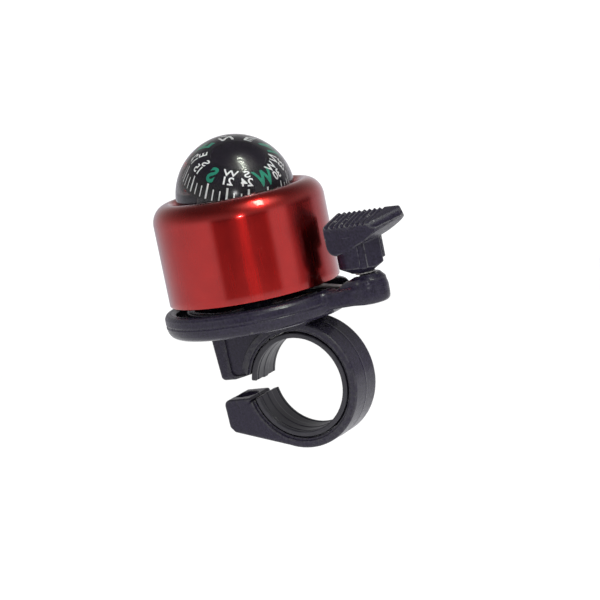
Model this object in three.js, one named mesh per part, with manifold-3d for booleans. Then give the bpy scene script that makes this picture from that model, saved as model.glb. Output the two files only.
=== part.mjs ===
// A bicycle bell with a ball compass on its gong: an aluminium gong screwed to a moulded base, a thumb
// lever on a steel shaft that swings a striker inside the gong, and an open band for the handlebar.
// Millimetres, +Z up along the gong's axis. The origin is the centre of the handlebar hole, whose axis
// is Y, and the lever's ear is on the +X side.

import * as THREE from 'three';
import { ConvexGeometry } from 'three/addons/geometries/ConvexGeometry.js';
import { mergeVertices } from 'three/addons/utils/BufferGeometryUtils.js';
import Module from 'manifold-3d';

const wasm = await Module();
wasm.setup();

// ---- driving dimensions ----

const GAP = 0.3; // play between pieces that are cut to each other
const BAR_R = 11.1; // a 22.2 mm handlebar
const GONG_X = -9.24; // the gong's axis
const PIVOT_X = 20.3; // the lever's axis

const LINER = { outerR: 12.5, width: 9.9, endAngle: 170 };
const BAND = { innerR: 12.8, outerR: 15.08, width: 10.6 };
const BLOCK = { left: -20.9, footLeft: -20.1, bottom: 3, endAngle: 163.7 };
const LUG = { left: -20.8, top: -2, bottom: -9.4, endAngle: -168, tangentAngle: -111 };
const CLAMP_SCREW_X = -17.2; // the missing clamp screw's axis
const INSERT = { outerR: 2.6, threadR: 1.75, bottom: 3.4, top: 9.4 };
const PANEL = { left: -17.1, bottom: 3.7, depth: 0.6, cornerR: 1.4 };

const PLATE = { bottom: 15.4, floor: 18.2, rimTop: 21.25, outerR: 22.15, wellR: 19.3 };
const SEAT = { innerR: 14.9, outerR: 16.7, top: 20.9 }; // low ring inside the rim
const POST = { outerR: 3.4, holeR: 2.3, top: 36.5 };
const KEY = { left: -17, right: -1.5, halfWidth: 3, top: 16.6 };
const EAR = { halfWidth: 4.45, bottom: 17, top: 21, filletR: 3 };
const BOSS = { outerR: 4.45, bottom: 17, top: 23.6, boreR: 1.85 };
const CAVITY = { r: 3.4, bottom: 19, top: 22.8 }; // where the striker's hub and the spring turn
const CLIP_WELL = { r: 3.2, top: 17.9 };
const CHANNEL = { floor: 18.9, reach: 28.5, fromAngle: 143, toAngle: 176 }; // the striker arm's way

const GONG = { outerR: 20.3, wall: 1.15, bottom: 22.8, crest: 46.6, crestR: 16.2 };
const WELL = { r: 14.9, floor: 37.7, floorWall: 1.2 }; // the gong's recess for the compass

const BALL = { z: 45.77, r: 14.03, innerR: 12.9, seam: 45.2, bottom: 39.6, floor: 40.6 };
const PAD = { innerR: 4.8, outerR: 12.2 };
const CARD = { lean: 20, leanAzimuth: -11.3 }; // how far and which way the card floats off the gong's axis

const SHAFT = { r: 1.5, bottom: 17.1, top: 29 };
const WASHER = { r: 2.3, top: 24.1 };
const NECK = { x: PIVOT_X - 0.5, y: -0.3, r: 5.2, bottom: 24.1, chamferTop: 25.6, grooveR: 4.4 };
const LEVER_PAD = { front: -5.6, back: 4, ribs: 9, ribPitch: 1.32, ribDepth: 0.55 };

const ARM = { bottom: 19.75, top: 20.25, length: 25.15, angle: 148.4, halfWidth: 1.1 };
const HEAD = { r: 2.2, top: 27.4 };
const HUB = { r: 2.9, bottom: 19.1, top: 19.6 };
const COIL = { r: 2.5, wireR: 0.25, bottom: 20.75, rise: 1.6, turns: 2.75 };

// ---- finishes ----

const BLACK_PLASTIC = { color: 0x302c36, roughness: 0.55, metalness: 0 };
const GLOSS_BLACK = { color: 0x141218, roughness: 0.2, metalness: 0 };
const RED_ALUMINIUM = { color: 0xa5141a, roughness: 0.28, metalness: 1 };
const RUBBER = { color: 0x3c3e40, roughness: 0.7, metalness: 0 };
const STEEL = { color: 0xb4b4b2, roughness: 0.3, metalness: 1 };
const BRASS = { color: 0xb08a4a, roughness: 0.35, metalness: 1 };
const MAGNET = { color: 0x3a3a3c, roughness: 0.5, metalness: 0.6 };
const FOAM = { color: 0x1c1c1e, roughness: 0.95, metalness: 0 };
const CLEAR = { color: 0xe8f0ee, roughness: 0.03, metalness: 0 };
const JEWEL = { color: 0xa02a3a, roughness: 0.15, metalness: 0 };
const NYLON = { color: 0xd8d4c8, roughness: 0.5, metalness: 0 };

// ---- helpers ----

const bell = new THREE.Group();

function add(name, geometry, finish, parent = bell) {
  const mesh = new THREE.Mesh(geometry, new THREE.MeshStandardMaterial(finish));
  mesh.name = name;
  parent.add(mesh);
  return mesh;
}

const radians = THREE.MathUtils.degToRad;

function polar(r, degrees, x = 0, y = 0) {
  return [x + r * Math.cos(radians(degrees)), y + r * Math.sin(radians(degrees))];
}

// A closed geometry as a solid that can be joined and cut.
function solid(geometry) {
  const bare = geometry.clone();
  bare.deleteAttribute('normal');
  bare.deleteAttribute('uv');
  const merged = mergeVertices(bare, 1e-4);
  const index = Array.from(merged.index.array);
  const triangles = [];
  for (let i = 0; i < index.length; i += 3) {
    const [a, b, c] = index.slice(i, i + 3);
    if (a !== b && b !== c && c !== a) triangles.push(a, b, c);
  }
  return new wasm.Manifold(new wasm.Mesh({
    numProp: 3,
    vertProperties: new Float32Array(merged.attributes.position.array),
    triVerts: new Uint32Array(triangles),
  }));
}

function geometryOf(body) {
  const mesh = body.getMesh();
  const geometry = new THREE.BufferGeometry();
  geometry.setAttribute('position', new THREE.BufferAttribute(mesh.vertProperties, mesh.numProp));
  geometry.setIndex(new THREE.BufferAttribute(mesh.triVerts, 1));
  geometry.computeVertexNormals();
  return geometry;
}

// A solid of revolution about Z from [radius, height] points, closed on itself if it misses the axis.
function revolve(points, segments, x = 0, y = 0) {
  const profile = points.map(([r, z]) => new THREE.Vector2(r, z));
  if (THREE.ShapeUtils.area(profile) < 0) profile.reverse();
  const first = profile[0];
  const last = profile[profile.length - 1];
  if (first.x > 0 || last.x > 0) profile.push(first.clone());
  return new THREE.LatheGeometry(profile, segments).rotateX(Math.PI / 2).translate(x, y, 0);
}

// Points on an arc about a centre, from one angle to another.
function arc(cx, cz, r, from, to, steps) {
  return Array.from({ length: steps + 1 }, (_, i) => polar(r, from + ((to - from) * i) / steps, cx, cz));
}

function tube(innerR, outerR, bottom, top, segments, x = 0, y = 0) {
  return revolve([[innerR, bottom], [outerR, bottom], [outerR, top], [innerR, top]], segments, x, y);
}

function rod(r, bottom, top, segments, x = 0, y = 0) {
  return revolve([[0, bottom], [r, bottom], [r, top], [0, top]], segments, x, y);
}

function box([x0, x1], [y0, y1], [z0, z1]) {
  return new THREE.BoxGeometry(x1 - x0, y1 - y0, z1 - z0)
    .translate((x0 + x1) / 2, (y0 + y1) / 2, (z0 + z1) / 2);
}

function shapeOf(points) {
  return new THREE.Shape(points.map(([u, v]) => new THREE.Vector2(u, v)));
}

// A plate whose outline lies in X and Y, from one height to another.
function plate(points, bottom, top) {
  return new THREE.ExtrudeGeometry(shapeOf(points), { depth: top - bottom, bevelEnabled: false })
    .translate(0, 0, bottom);
}

// A bar whose outline lies in X and Z, from one side (low Y) to the other.
function slab(points, low, high) {
  return new THREE.ExtrudeGeometry(shapeOf(points), { depth: high - low, bevelEnabled: false })
    .rotateX(Math.PI / 2)
    .translate(0, high, 0);
}

// ---- handlebar clamp: block, open band and lug in one moulding, with a rubber liner ----

function clampBody() {
  const half = BAND.width / 2;
  const outline = [
    [BLOCK.left, PLATE.bottom],
    [BLOCK.footLeft, BLOCK.bottom + 0.5],
    [BLOCK.footLeft + 0.5, BLOCK.bottom],
    ...arc(0, 0, BAND.innerR, BLOCK.endAngle, LUG.endAngle, 44),
    [-14.05, LUG.top - 1],
    [LUG.left + 0.6, LUG.top],
    [LUG.left, LUG.top - 0.5],
    [LUG.left + 0.3, LUG.bottom + 0.8],
    [LUG.left + 1.4, LUG.bottom - 0.5],
    ...arc(0, 0, BAND.outerR, LUG.tangentAngle, 70, 26),
    [8.5, PLATE.bottom],
  ];
  const panel = [
    [PANEL.left - 0.1, PLATE.bottom + 1],
    ...arc(PANEL.left + PANEL.cornerR, PANEL.bottom + PANEL.cornerR, PANEL.cornerR, 180, 270, 5),
    [-13.2, PANEL.bottom],
    ...arc(0, 0, BAND.outerR, 160, 108, 8),
    [-4.6, PLATE.bottom + 1],
  ];
  let body = solid(slab(outline, -half, half));
  body = body.add(solid(box([KEY.left, KEY.right], [-KEY.halfWidth, KEY.halfWidth], [PLATE.bottom - 1, KEY.top])));
  for (const [low, high] of [[-half - 1, -half + PANEL.depth], [half - PANEL.depth, half + 1]]) {
    body = body.subtract(solid(slab(panel, low, high).translate(0, 0, -1)));
  }
  const screwHole = solid(rod(POST.holeR, 11.7, KEY.top + 1, 20, GONG_X));
  const lugHole = solid(rod(2.2, LUG.bottom - 3, LUG.top + 1, 20, CLAMP_SCREW_X));
  const insertPocket = solid(rod(INSERT.outerR + 0.15, BLOCK.bottom - 1, INSERT.top + 0.2, 20, CLAMP_SCREW_X));
  return geometryOf(body.subtract(screwHole).subtract(lugHole).subtract(insertPocket));
}

function clampLiner() {
  const outline = [
    ...arc(0, 0, LINER.outerR, -LINER.endAngle, LINER.endAngle, 40),
    ...arc(0, 0, BAR_R, LINER.endAngle, -LINER.endAngle, 40),
  ];
  return slab(outline, -LINER.width / 2, LINER.width / 2);
}

add('clamp_body', clampBody(), BLACK_PLASTIC);
add('clamp_liner', clampLiner(), RUBBER);
add('clamp_insert', tube(INSERT.threadR, INSERT.outerR, INSERT.bottom, INSERT.top, 20, CLAMP_SCREW_X), BRASS);

// ---- base: round dish with a post for the gong and an ear with a boss for the lever ----

function earOutline() {
  const reach = PLATE.outerR - 0.35 + EAR.filletR;
  const offset = EAR.halfWidth + EAR.filletR;
  const filletX = GONG_X + Math.sqrt(reach * reach - offset * offset);
  const startAngle = -90 - (90 - THREE.MathUtils.radToDeg(Math.atan2(offset, filletX - GONG_X)));
  const upper = arc(filletX, offset, EAR.filletR, startAngle, -90, 4);
  const lower = upper.map(([x, y]) => [x, -y]).reverse();
  return [[GONG_X + 12, -8], ...lower, ...arc(PIVOT_X, 0, EAR.halfWidth, -90, 90, 12), ...upper, [GONG_X + 12, 8]];
}

function basePlate() {
  const dish = [
    [POST.holeR, PLATE.bottom],
    [19.8, PLATE.bottom],
    [21.2, 15.9],
    [21.95, 17],
    [PLATE.outerR, 18.3],
    [21.9, 18.6],
    [PLATE.outerR, 18.9],
    [PLATE.outerR - 0.1, 20],
    [21.5, 20.9],
    [20.6, PLATE.rimTop],
    [19.9, PLATE.rimTop - 0.15],
    [PLATE.wellR, 20.5],
    [PLATE.wellR, PLATE.floor],
    [SEAT.outerR, PLATE.floor],
    [SEAT.outerR, SEAT.top - 0.5],
    [SEAT.outerR - 0.5, SEAT.top],
    [SEAT.innerR, SEAT.top],
    [SEAT.innerR, PLATE.floor],
    [POST.outerR + 0.8, PLATE.floor],
    [POST.outerR, PLATE.floor + 0.8],
    [POST.outerR, POST.top],
    [POST.holeR, POST.top],
  ];
  const boss = [
    [0, BOSS.bottom],
    [3, BOSS.bottom],
    [4.1, BOSS.bottom + 0.6],
    [BOSS.outerR, BOSS.bottom + 1.6],
    [BOSS.outerR, 22.3],
    [3.3, BOSS.top],
    [0, BOSS.top],
  ];
  const channel = [
    [PIVOT_X - 0.2, 3.2],
    polar(CHANNEL.reach - 4.5, CHANNEL.fromAngle - 4, PIVOT_X),
    ...arc(PIVOT_X, 0, CHANNEL.reach, CHANNEL.fromAngle, CHANNEL.toAngle, 4),
    [PIVOT_X - 0.2, -3.2],
  ];
  const dishSolid = solid(revolve(dish, 52, GONG_X));
  const inside = solid(rod(PLATE.wellR + 0.3, PLATE.floor - 0.4, PLATE.rimTop + 5, 52, GONG_X));
  let body = solid(plate(earOutline(), EAR.bottom, EAR.top)).subtract(inside).add(dishSolid);
  body = body.add(solid(revolve(boss, 28, PIVOT_X)));
  const slot = solid(plate(channel, CHANNEL.floor, PLATE.rimTop + 1));
  const keyway = solid(box(
    [KEY.left - GAP, KEY.right + GAP],
    [-KEY.halfWidth - GAP, KEY.halfWidth + GAP],
    [PLATE.bottom - 1, KEY.top + GAP],
  ));
  const bore = solid(rod(BOSS.boreR, BOSS.bottom - 1, BOSS.top + 1, 24, PIVOT_X));
  const cavity = solid(rod(CAVITY.r, CAVITY.bottom, CAVITY.top, 28, PIVOT_X));
  const clipWell = solid(rod(CLIP_WELL.r, BOSS.bottom - 1, CLIP_WELL.top, 24, PIVOT_X));
  const mouth = solid(box([PIVOT_X - 6, PIVOT_X - 0.6], [-5, 5], [EAR.top + 0.15, BOSS.top + 1]));
  for (const cut of [slot, keyway, bore, cavity, clipWell, mouth]) body = body.subtract(cut);
  return geometryOf(body);
}

add('base_plate', basePlate(), BLACK_PLASTIC);

// ---- gong: a drawn aluminium cup whose top turns over into a well for the compass ----

const SHOULDER_Z = 42; // where the gong's wall starts to round over

function gongProfile() {
  const inner = GONG.outerR - GONG.wall;
  const shoulder = new THREE.Path()
    .moveTo(WELL.r, 44.6)
    .quadraticCurveTo(WELL.r + 0.1, GONG.crest - 0.05, GONG.crestR, GONG.crest)
    .absellipse(GONG.crestR, SHOULDER_Z, GONG.outerR - GONG.crestR, GONG.crest - SHOULDER_Z, Math.PI / 2, 0, true);
  const under = new THREE.Path()
    .moveTo(inner, SHOULDER_Z)
    .bezierCurveTo(inner, SHOULDER_Z + 1.9, 18.2, 45.3, 16.7, 45.4)
    .quadraticCurveTo(WELL.r + GONG.wall, 45.3, WELL.r + GONG.wall, 44.6);
  const floorUnder = WELL.floor - WELL.floorWall;
  return [
    [POST.holeR, WELL.floor],
    [WELL.r - 1.2, WELL.floor],
    [WELL.r - 0.3, WELL.floor + 0.4],
    [WELL.r, WELL.floor + 1.3],
    ...shoulder.getPoints(4).map((p) => [p.x, p.y]),
    [GONG.outerR, GONG.bottom + 0.3],
    [GONG.outerR - 0.25, GONG.bottom],
    [inner + 0.25, GONG.bottom],
    [inner, GONG.bottom + 0.3],
    ...under.getPoints(4).map((p) => [p.x, p.y]),
    [WELL.r + GONG.wall, WELL.floor + 0.6],
    [WELL.r - 0.2, floorUnder],
    [POST.holeR, floorUnder],
  ];
}

add('gong', revolve(gongProfile(), 48, GONG_X), RED_ALUMINIUM);

function gongScrew() {
  const profile = [
    [0, 12],
    [1.3, 12],
    [2, 12.9],
    [2, 38.1],
    [3.5, 38.1],
    [3.5, 38.7],
    [2.6, 39.3],
    [0, 39.3],
  ];
  const slot = solid(box([GONG_X - 2.7, GONG_X + 2.7], [-0.4, 0.4], [38.6, 40]));
  return geometryOf(solid(revolve(profile, 20, GONG_X)).subtract(slot));
}

add('gong_screw', gongScrew(), STEEL);
add('gong_washer', tube(2.2, 4.2, WELL.floor, 38.1, 24, GONG_X), STEEL);

// ---- ball compass: black cup and clear dome, with a card that floats on a pin ----

add('compass_pad', tube(PAD.innerR, PAD.outerR, WELL.floor, BALL.bottom, 32, GONG_X), FOAM);

function ballAngle(height, r) {
  return THREE.MathUtils.radToDeg(Math.asin((height - BALL.z) / r));
}

function compassCup() {
  const profile = [
    ...arc(0, BALL.z, BALL.r, ballAngle(BALL.bottom, BALL.r), ballAngle(BALL.seam, BALL.r), 4),
    ...arc(0, BALL.z, BALL.innerR, ballAngle(BALL.seam, BALL.innerR), ballAngle(BALL.floor, BALL.innerR), 4),
    [0, BALL.floor],
    [0, BALL.bottom],
  ];
  const plugHole = solid(rod(1.3, BALL.bottom - 1, BALL.floor + 1, 16, GONG_X - 9.2));
  return geometryOf(solid(revolve(profile, 32, GONG_X)).subtract(plugHole));
}

function compassDome() {
  return revolve([
    ...arc(0, BALL.z, BALL.r, ballAngle(BALL.seam, BALL.r), 90, 9),
    ...arc(0, BALL.z, BALL.innerR, 90, ballAngle(BALL.seam, BALL.innerR), 8),
  ].map(([r, z]) => [Math.max(r, 0) < 1e-6 ? 0 : r, z]), 32, GONG_X);
}

add('compass_cup', compassCup(), GLOSS_BLACK);
add('fill_plug', rod(1.1, BALL.bottom + 0.1, BALL.floor - 0.1, 16, GONG_X - 9.2), NYLON);
add('compass_dome', compassDome(), CLEAR);
add('card_pin', revolve([[0, BALL.floor], [1.3, BALL.floor], [1.3, 41.1], [0.6, 41.6], [0.6, 44.2],
  [0.15, 45.72], [0, 45.72]], 12, GONG_X), STEEL);

// The card floats level while the bell leans, so its group is turned about the ball's centre.
const card = new THREE.Group();
card.position.set(GONG_X, 0, BALL.z);
const [leanX, leanY] = polar(1, CARD.leanAzimuth);
card.quaternion.setFromAxisAngle(new THREE.Vector3(-leanY, leanX, 0), radians(CARD.lean));
bell.add(card);

function compassCard() {
  const crown = new THREE.Path().moveTo(8.4, 3.9).quadraticCurveTo(8.2, 6, 5.1, 6.9).getPoints(4);
  const underCrown = new THREE.Path().moveTo(4.6, 5.9).quadraticCurveTo(7.5, 5.4, 7.65, 3.8).getPoints(3);
  return revolve([
    [8.25, 0.3],
    [8.95, 0.3],
    ...crown.map((p) => [p.x, p.y]),
    [4.9, 6.6],
    [0, 6.6],
    [0, 5.8],
    [1.8, 5.8],
    [1.8, 0.3],
    [3.2, 0.3],
    [3.2, -0.3],
    [4.2, -0.3],
    [4.2, 0.9],
    [2.7, 0.9],
    [2.7, 5.9],
    ...underCrown.map((p) => [p.x, p.y]),
  ], 28);
}

const jewelProfile = [[0, 0.25], [1.2, -0.57], [2.4, -0.57], [2.4, 0], [1.5, 0], [1.5, 2.1], [0, 2.1]];
add('compass_card', compassCard(), GLOSS_BLACK, card);
add('card_jewel', revolve(jewelProfile, 16), JEWEL, card);
add('card_magnet', tube(3, 6, -2.8, -0.6, 24), MAGNET, card);

// ---- thumb lever on its shaft ----

// The neck's section: round, with a flat to the front right and a narrow groove beside it.
function neckOutline() {
  const groove = [[NECK.r, -64], [NECK.grooveR, -62.5], [NECK.grooveR, -47.5], [NECK.r, -46]];
  return [
    ...arc(NECK.x, NECK.y, NECK.r, 18, 296, 18),
    ...groove.slice(1).map(([r, angle]) => polar(r, angle, NECK.x, NECK.y)),
  ];
}

// The pad's corners: a flat front, a top that rises to the back, and a tip that draws in to the right.
function padCorners() {
  const { front, back } = LEVER_PAD;
  return [
    [14.2, front, 34.8], [14.5, front, 36.1], [14.3, front, 30.8], [15.1, front, 29.4], [16.4, front, 28.85],
    [27.2, front, 32.4], [27.7, front, 34.1], [27.2, front, 34.7], [26, front, 35.6],
    [13.7, back, 37.4], [14.4, back, 37.75], [13.9, back, 30.6], [15.8, back, 29.4],
    [24, back, 31.1], [27.6, back, 32.6], [29.7, back, 33.8], [30.9, back, 35],
    [29.9, back, 37.8], [32.4, 0.6, 35.3], [32.2, 0.9, 36], [30.9, 2.6, 37.4],
  ].map(([x, y, z]) => new THREE.Vector3(x, y, z));
}

function lever() {
  const { front, back, ribs, ribPitch, ribDepth } = LEVER_PAD;
  let body = solid(new ConvexGeometry(padCorners()));
  const slope = Math.atan2(37.75 - 36.1, back - front);
  for (let i = 0; i < ribs; i += 1) {
    const groove = slab([[-0.42, 0.2], [0, -ribDepth], [0.42, 0.2]], -7, 7)
      .rotateX(slope)
      .translate(15.3 + i * ribPitch, (front + back) / 2, 36.9);
    body = body.subtract(solid(groove));
  }
  const funnel = [
    [0, NECK.bottom],
    [2.7, NECK.bottom],
    [2.9, 24.3],
    [NECK.r + 0.01, NECK.chamferTop],
    [NECK.r + 0.01, 33],
    [0, 33],
  ];
  const neck = solid(plate(neckOutline(), NECK.bottom, 32.4)).intersect(solid(revolve(funnel, 32, NECK.x, NECK.y)));
  const fin = solid(box([PIVOT_X + 1, PIVOT_X + 3.8], [2.9, 4], [26.3, 32.4]));
  const bore = solid(rod(SHAFT.r + 0.1, NECK.bottom - 1, SHAFT.top + 0.2, 20, PIVOT_X));
  return geometryOf(body.add(neck).add(fin).subtract(bore));
}

add('lever', lever(), BLACK_PLASTIC);
add('lever_shaft', rod(SHAFT.r, SHAFT.bottom, SHAFT.top, 20, PIVOT_X), STEEL);
add('lever_washer', tube(SHAFT.r + 0.1, WASHER.r, BOSS.top, WASHER.top, 20, PIVOT_X), STEEL);

function shaftClip() {
  const outline = [...arc(PIVOT_X, 0, 2.9, 20, 340, 18), ...arc(PIVOT_X, 0, SHAFT.r + 0.1, 330, 30, 14)];
  return plate(outline, 17.15, 17.6);
}

class CoilCurve extends THREE.Curve {
  getPoint(t, target = new THREE.Vector3()) {
    const angle = 2 * Math.PI * COIL.turns * t;
    const [x, y] = [COIL.r * Math.cos(angle), COIL.r * Math.sin(angle)];
    return target.set(PIVOT_X + x, y, COIL.bottom + COIL.rise * t);
  }
}

function returnSpring() {
  const section = shapeOf(arc(0, 0, COIL.wireR, 0, 300, 5));
  return new THREE.ExtrudeGeometry(section, { steps: 44, bevelEnabled: false, extrudePath: new CoilCurve() });
}

add('shaft_clip', shaftClip(), STEEL);
add('return_spring', returnSpring(), STEEL);

// ---- striker: hub on the shaft, spring arm with an eye round the shaft, and a hammer at its end ----

add('striker_hub', tube(SHAFT.r + 0.1, HUB.r, HUB.bottom, HUB.top, 20, PIVOT_X), STEEL);

function strikerArm() {
  const { length, halfWidth } = ARM;
  const eye = tube(SHAFT.r + GAP, HUB.r, ARM.bottom, ARM.top, 20);
  const strip = plate([
    [2.4, -1.6],
    [7, -halfWidth],
    ...arc(length, 0, 1.9, -60, 60, 6),
    [7, halfWidth],
    [2.4, 1.6],
  ], ARM.bottom, ARM.top);
  const rivetHole = solid(rod(1.1, ARM.bottom - 1, ARM.top + 1, 16, length));
  return geometryOf(solid(eye).add(solid(strip)).subtract(rivetHole));
}

const striker = new THREE.Group();
striker.position.set(PIVOT_X, 0, 0);
striker.rotation.z = radians(ARM.angle);
bell.add(striker);
add('striker_arm', strikerArm(), STEEL, striker);
add('striker_head', tube(1.1, HEAD.r, ARM.top + GAP, HEAD.top, 20, ARM.length), BRASS, striker);
add('striker_rivet', revolve([
  [0, ARM.bottom - 0.6],
  [1.6, ARM.bottom - 0.6],
  [1.6, ARM.bottom - 0.2],
  [0.9, ARM.bottom - 0.2],
  [0.9, HEAD.top + 0.2],
  [0, HEAD.top + 0.2],
], 16, ARM.length), STEEL, striker);

export default bell;
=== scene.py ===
# A bicycle bell with a ball compass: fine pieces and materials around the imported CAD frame.
# Lengths are in millimetres up to the point where a mesh is made, and the frame's +Z is the gong's axis.

import math

import bmesh
import bpy
import numpy as np
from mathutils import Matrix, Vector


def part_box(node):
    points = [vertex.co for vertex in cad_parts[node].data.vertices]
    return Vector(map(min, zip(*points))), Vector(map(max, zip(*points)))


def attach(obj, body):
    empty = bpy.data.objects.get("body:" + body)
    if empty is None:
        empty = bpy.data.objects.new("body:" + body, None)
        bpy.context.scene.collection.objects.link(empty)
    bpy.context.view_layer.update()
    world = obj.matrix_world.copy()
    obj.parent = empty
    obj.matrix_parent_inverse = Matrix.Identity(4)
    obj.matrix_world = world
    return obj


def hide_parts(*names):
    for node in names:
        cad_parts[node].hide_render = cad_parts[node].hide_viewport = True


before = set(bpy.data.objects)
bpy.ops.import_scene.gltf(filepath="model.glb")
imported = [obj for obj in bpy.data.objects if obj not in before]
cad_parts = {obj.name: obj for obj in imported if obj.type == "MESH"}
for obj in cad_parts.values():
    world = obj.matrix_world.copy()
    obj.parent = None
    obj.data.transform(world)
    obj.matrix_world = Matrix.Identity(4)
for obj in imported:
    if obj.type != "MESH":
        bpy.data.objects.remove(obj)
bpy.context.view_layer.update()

import openvdb
from mathutils import Matrix, Quaternion, Vector

MM = 0.001

# ---- sizes that the frame gives ----


def span(node):
    """The lowest and highest corner of a CAD node, in millimetres."""
    low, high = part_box(node)
    return np.array(low) / MM, np.array(high) / MM


gong_low, gong_high = span("gong")
dome_low, dome_high = span("compass_dome")
plate_low, plate_high = span("base_plate")
clamp_low, clamp_high = span("clamp_body")
liner_low, liner_high = span("clamp_liner")
shaft_low, shaft_high = span("lever_shaft")
lever_low, lever_high = span("lever")
arm_low, arm_high = span("striker_arm")
head_low, head_high = span("striker_head")

GONG_X = (gong_low[0] + gong_high[0]) / 2
PIVOT_X = (shaft_low[0] + shaft_high[0]) / 2
GONG_R = (gong_high[0] - gong_low[0]) / 2
GONG_LOW = gong_low[2]
GONG_TOP = gong_high[2]
BALL_R = 14.03
BALL_Z = dome_high[2] - BALL_R
SEAM_Z = dome_low[2]
PLATE_LOW = plate_low[2]
PLATE_R = GONG_X - plate_low[0]
POST_TOP = plate_high[2]
BAND_HALF = clamp_high[1]
LINER_HALF = liner_high[1]

# ---- sizes of the fine shapes ----

GONG_WALL = 1.15
WELL = {"r": 14.9, "lip": 44.6, "floor": 37.7, "wall": 1.2}
SCREW_HOLE = 2.3  # the radius left open for the gong's screw
RIM_TOP = 21.25
DISH = {"floor": 18.2, "inner": 19.3}
SEAT = {"inner": 14.9, "outer": 16.7, "top": 20.9}
EAR = {"half": 4.45, "low": 17.0, "top": 21.0, "fillet": 3.0}
BOSS = {"r": 4.45, "low": 17.0, "top": 23.6}
LINER = {"inner": 11.1, "outer": 12.5, "end": 170}
BAND = {"inner": 12.8, "outer": 15.08}
CLAMP_SCREW_X = -17.2
CLAMP_HOLE = {"r": 2.2, "nut_r": 2.75, "nut_top": 9.6}
RIB = {"pitch": 1.32, "first": 15.3, "count": 9, "depth": 0.44}
HOLLOW = {"at": (27.40, -6.42, 36.94), "along": (0.545, 0.817, 0.187), "r": 2.6}
NOTCH = {"at": (32.0, 1.75, 36.4), "r": 0.95}
NECK = {"x": PIVOT_X - 0.5, "y": -0.3, "r": 5.2, "low": 24.1}
BALL_INNER = 12.9
CARD_LEAN = 20
CARD_LEAN_AZIMUTH = -11.3
CARD_FRONT = 219.9  # the dial's degree that faces the front
INK = 0.03  # how far the print stands off the card
COIL = {"r": 2.5, "wire": 0.25, "low": 20.75, "rise": 1.6, "turns": 2.75}
ARM_ANGLE = 148.4
ARM_LENGTH = 25.15

# ---- camera ----

AZIMUTH = math.radians(29.24)
ELEVATION = math.radians(8.68)
ROLL = math.radians(-11.40)
DISTANCE = 545.75
TARGET = Vector((1.55, 0.87, 18.92))
LENS = 140.5


def direction(azimuth, elevation):
    """A unit vector: azimuth 0 points to -Y and turns towards +X, both in radians."""
    flat = math.cos(elevation)
    return Vector((math.sin(azimuth) * flat, -math.cos(azimuth) * flat, math.sin(elevation)))


def add_camera():
    back = direction(AZIMUTH, ELEVATION)
    level = Vector((math.cos(AZIMUTH), math.sin(AZIMUTH), 0))
    upright = back.cross(level)
    right = level * math.cos(ROLL) + upright * math.sin(ROLL)
    up = upright * math.cos(ROLL) - level * math.sin(ROLL)
    data = bpy.data.cameras.new("camera")
    data.lens = LENS
    data.clip_start = 0.01
    camera = bpy.data.objects.new("camera", data)
    turn = Matrix((right, up, back)).transposed().to_4x4()
    camera.matrix_world = Matrix.Translation((TARGET + back * DISTANCE) * MM) @ turn
    bpy.context.collection.objects.link(camera)
    bpy.context.scene.camera = camera


# ---- outlines ----


def arc(cx, cy, r, start, end, steps):
    """Points on an arc about a centre, from one angle to another, in degrees."""
    angles = np.radians(np.linspace(start, end, steps + 1))
    return [(cx + r * math.cos(a), cy + r * math.sin(a)) for a in angles]


def rounded(points, closed=True, steps=5):
    """An outline whose points may carry a corner radius as their third value."""
    result = []
    count = len(points)
    for i, point in enumerate(points):
        radius = point[2] if len(point) > 2 else 0
        if radius == 0 or (not closed and i in (0, count - 1)):
            result.append((point[0], point[1]))
            continue
        here = Vector(point[:2])
        before = (Vector(points[i - 1][:2]) - here).normalized()
        after = (Vector(points[(i + 1) % count][:2]) - here).normalized()
        half = before.angle(after) / 2
        reach = radius / math.tan(half)
        centre = here + (before + after).normalized() * (radius / math.sin(half))
        start = here + before * reach - centre
        sweep = start.angle_signed(here + after * reach - centre)
        for k in range(steps + 1):
            turned = start.copy()
            turned.rotate(Matrix.Rotation(-sweep * k / steps, 2))
            result.append(tuple(centre + turned))
    return result


def curve(start, control, end, steps):
    """Points on a quadratic curve, without its first point."""
    t = np.linspace(0, 1, steps + 1)[1:, None]
    points = (1 - t) ** 2 * np.array(start) + 2 * t * (1 - t) * np.array(control) + t**2 * np.array(end)
    return [tuple(p) for p in points]


# ---- solid shapes as distance fields ----


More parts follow.
